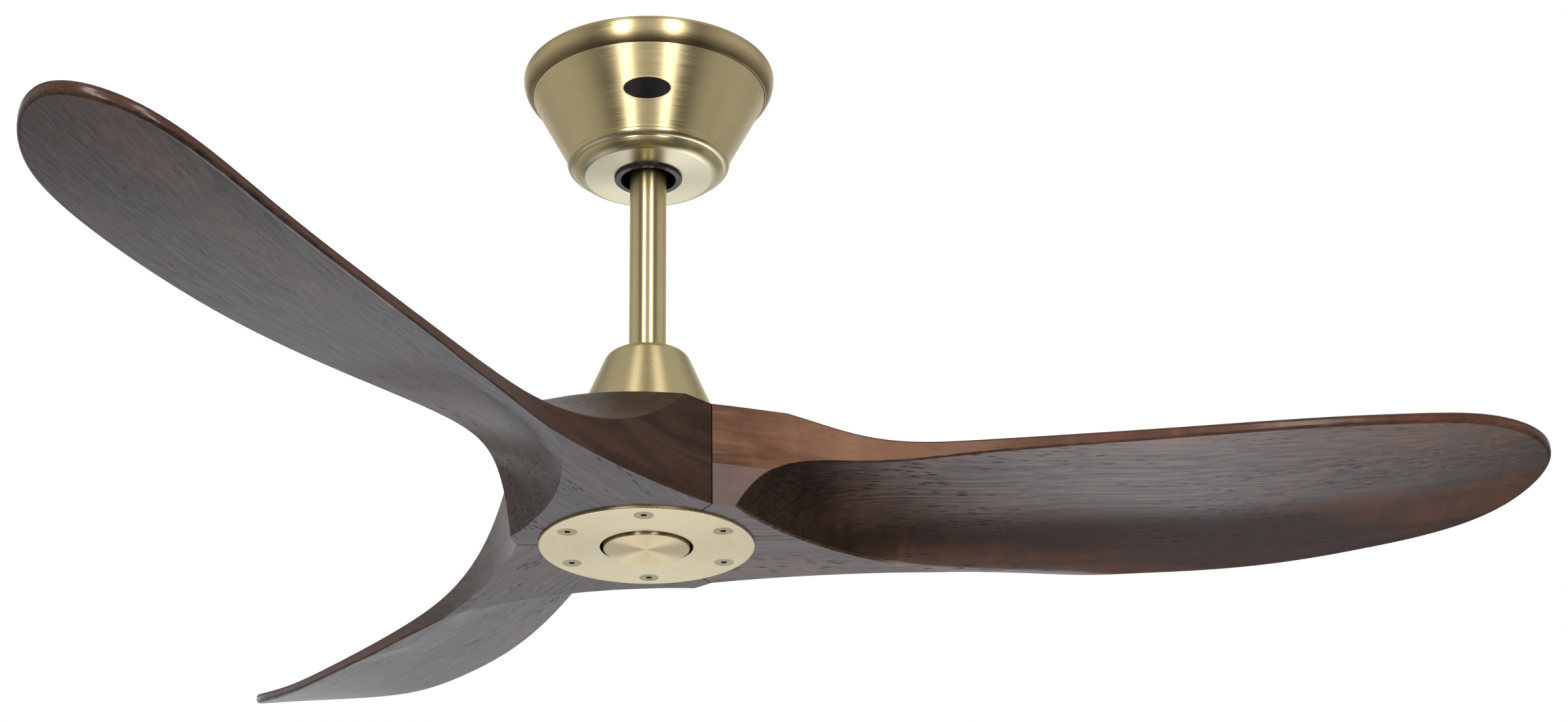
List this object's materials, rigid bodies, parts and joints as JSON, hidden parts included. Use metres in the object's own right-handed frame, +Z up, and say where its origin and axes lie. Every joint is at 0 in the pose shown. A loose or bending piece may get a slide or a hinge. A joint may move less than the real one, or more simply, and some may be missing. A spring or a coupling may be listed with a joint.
{
  "type": "ceiling fan",
  "caption": "Ceiling fan with carved walnut propeller blades on a flat hub, a short brass downrod, a conical coupling cover and a conical canopy.",
  "frame": {"origin": "in the ceiling plane, on the fan's axis, at the middle of the bracket's top face", "axes": "+Z up towards the ceiling, +X along the first blade at rest, -Y towards the badge on the canopy"},
  "size_m": [0.9502, 1.0716, 0.365],
  "materials": {
    "brushed_brass": "satin, fine turned lines round the axis",
    "matt_brass": "matt with a bright rolled edge",
    "spun_brass": "radially spun",
    "polished_brass": "polished",
    "screw_brass": "satin plated",
    "walnut": "dark stained, satin lacquer with open pores and glossier edges",
    "enamel": "gloss enamel",
    "dark_plastic": "satin moulded",
    "grey_plastic": "fine moulded texture",
    "white_plastic": "fine moulded texture",
    "zinc": "zinc plated",
    "cast_zinc": "as cast",
    "steel": "bright",
    "motor_aluminium": "die cast",
    "lamination": "stacked sheet",
    "copper": "enamelled wire",
    "magnet": "nickel plated",
    "circuit_board": "solder mask",
    "capacitor_sleeve": "shrink sleeve",
    "rubber": "soft",
    "foam": "closed-cell foam"
  },
  "bodies": {
    "root": {"ceiling_bracket": "zinc", "canopy": "brushed_brass", "trim_ring": "brushed_brass", "canopy_bush": "dark_plastic", "canopy_screws": "screw_brass", "canopy_washers": "zinc", "badge_rim": "polished_brass", "badge_enamel": "enamel", "receiver_pad": "foam", "receiver_lid": "grey_plastic", "receiver_box": "grey_plastic", "terminal_block": "white_plastic", "terminal_screws": "steel", "block_screw": "steel"},
    "liner": {"saddle_liner": "rubber"},
    "rod": {"hanger_ball": "cast_zinc", "ball_pin": "steel", "ball_lock_screw": "steel", "downrod": "brushed_brass", "motor_yoke": "cast_zinc", "clevis_pin": "steel", "clevis_clip": "steel", "rod_lock_screws": "steel", "rod_lock_nuts": "steel", "shaft_lock_screw": "steel", "motor_shaft": "steel", "stator_support": "motor_aluminium", "stator_core": "lamination", "stator_windings": "copper", "driver_board": "circuit_board", "board_posts": "white_plastic", "board_capacitors": "capacitor_sleeve", "cap_holder": "dark_plastic", "cap_screw": "steel", "centre_cap": "spun_brass", "bearing_inner_rings": "steel"},
    "cover": {"coupling_cover": "brushed_brass"},
    "rotor": {"blade_1": "walnut", "blade_2": "walnut", "blade_3": "walnut", "hub_plate": "matt_brass", "plate_screws": "screw_brass", "rotor_lower_shell": "motor_aluminium", "rotor_upper_shell": "motor_aluminium", "shell_screws": "steel", "rotor_magnets": "magnet", "bearing_outer_rings": "steel", "bearing_balls": "steel"}
  },
  "joints": [
    {"name": "swing_side", "type": "hinge", "parent": "root", "child": "liner", "pos_m": [0, 0, -0.05], "axis": [0, 1, 0], "range_deg": [-5, 5]},
    {"name": "swing_front", "type": "hinge", "parent": "liner", "child": "rod", "pos_m": [0, 0, -0.05], "axis": [1, 0, 0], "range_deg": [-5, 5]},
    {"name": "cover_slide", "type": "slide", "parent": "rod", "child": "cover", "axis": [0, 0, 1], "range_m": [0, 0.12]},
    {"name": "blade_spin", "type": "hinge", "parent": "rod", "child": "rotor", "pos_m": [0, 0, -0.3315], "axis": [0, 0, 1], "continuous": true}
  ]
}
